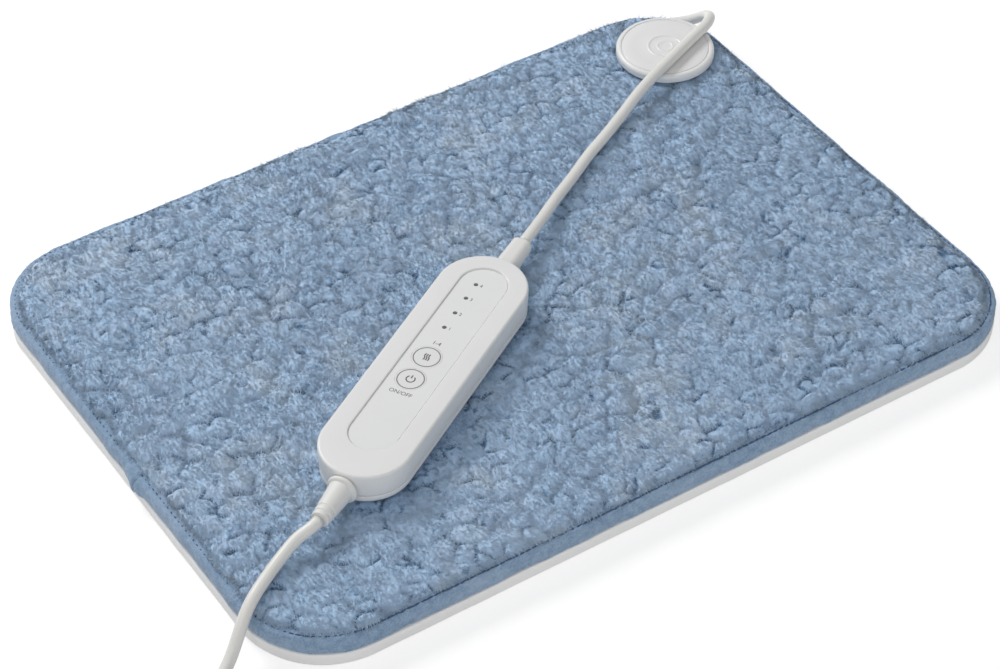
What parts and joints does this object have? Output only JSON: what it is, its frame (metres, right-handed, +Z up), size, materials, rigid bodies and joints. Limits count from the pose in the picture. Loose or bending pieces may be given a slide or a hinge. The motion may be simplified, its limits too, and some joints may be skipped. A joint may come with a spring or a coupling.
{
  "type": "heating pad",
  "caption": "Soft electric heating pad with a plush top, plug-in lead, in-line controller with push buttons and level lights, and a coiled mains lead.",
  "frame": {"origin": "middle of the pad's underside, in the plane that it lies on", "axes": "+X along the pad's long side towards the connector, +Y along its short side towards the plugged edge, +Z up"},
  "size_m": [0.4876, 0.4012, 0.0375],
  "materials": {
    "plush": "deep tufted plush pile",
    "velour": "short velour pile",
    "lining": "plain woven lining",
    "felt": "needled felt",
    "wire_jacket": "matt silicone",
    "tinned_metal": "tinned",
    "black_plastic": "moulded",
    "white_plastic": "satin moulded",
    "panel_plastic": "fine matt",
    "button_plastic": "fine matt with grey print",
    "contact_metal": "stamped and plated",
    "screw_steel": "zinc plated",
    "soft_sleeve": "matt flexible moulding",
    "cord_jacket": "smooth satin jacket",
    "lens": "smoked clear",
    "light_chip": "clear over yellow",
    "board": "solder mask",
    "fuse_glass": "clear tube",
    "capacitor_case": "moulded box",
    "tie_strap": "hook and loop strap"
  },
  "bodies": {
    "pad": {"pad_plush_cover": "plush", "pad_edge_binding": "velour", "pad_back_cover": "lining", "lower_felt_layer": "felt", "upper_felt_layer": "felt", "heating_wire": "wire_jacket", "thermal_fuse": "tinned_metal", "temperature_sensor": "black_plastic", "connector_cover": "white_plastic", "connector_base": "white_plastic", "connector_contact_1": "contact_metal", "connector_contact_2": "contact_metal", "connector_contact_3": "contact_metal", "connector_screw_1": "screw_steel", "connector_screw_2": "screw_steel"},
    "harness": {"lead_plug_upper_shell": "white_plastic", "lead_plug_lower_shell": "white_plastic", "lead_plug_contact_1": "contact_metal", "lead_plug_contact_2": "contact_metal", "lead_plug_contact_3": "contact_metal", "lead_plug_boot": "soft_sleeve", "pad_lead": "cord_jacket", "controller_top_shell": "white_plastic", "controller_bottom_shell": "white_plastic", "controller_panel": "panel_plastic", "power_switch": "black_plastic", "heat_switch": "black_plastic", "led_lens_1": "lens", "led_lens_2": "lens", "led_lens_3": "lens", "led_lens_4": "lens", "led_1": "light_chip", "led_2": "light_chip", "led_3": "light_chip", "led_4": "light_chip", "circuit_board": "board", "control_chip": "black_plastic", "power_triac": "black_plastic", "mains_fuse": "fuse_glass", "filter_capacitor": "capacitor_case", "housing_screw_1": "screw_steel", "housing_screw_2": "screw_steel", "upper_strain_relief": "soft_sleeve", "lower_strain_relief": "soft_sleeve", "mains_lead": "cord_jacket", "mains_coil": "cord_jacket", "mains_tail": "cord_jacket", "coil_tie": "tie_strap", "mains_plug_boot": "soft_sleeve", "mains_plug_body": "white_plastic", "mains_plug_pin_1": "contact_metal", "mains_plug_pin_2": "contact_metal"},
    "power_button": {"power_button": "button_plastic", "power_switch_plunger": "black_plastic"},
    "heat_button": {"heat_button": "button_plastic", "heat_switch_plunger": "black_plastic"}
  },
  "joints": [
    {"name": "lead_unplug", "type": "slide", "parent": "pad", "child": "harness", "axis": [0, 1, 0], "range_m": [0, 0.016]},
    {"name": "power_button_press", "type": "slide", "parent": "harness", "child": "power_button", "axis": [0, 0, -1], "range_m": [0, 0.0005], "stiffness_N_per_m": 1500},
    {"name": "heat_button_press", "type": "slide", "parent": "harness", "child": "heat_button", "axis": [0, 0, -1], "range_m": [0, 0.0005], "stiffness_N_per_m": 1500}
  ]
}
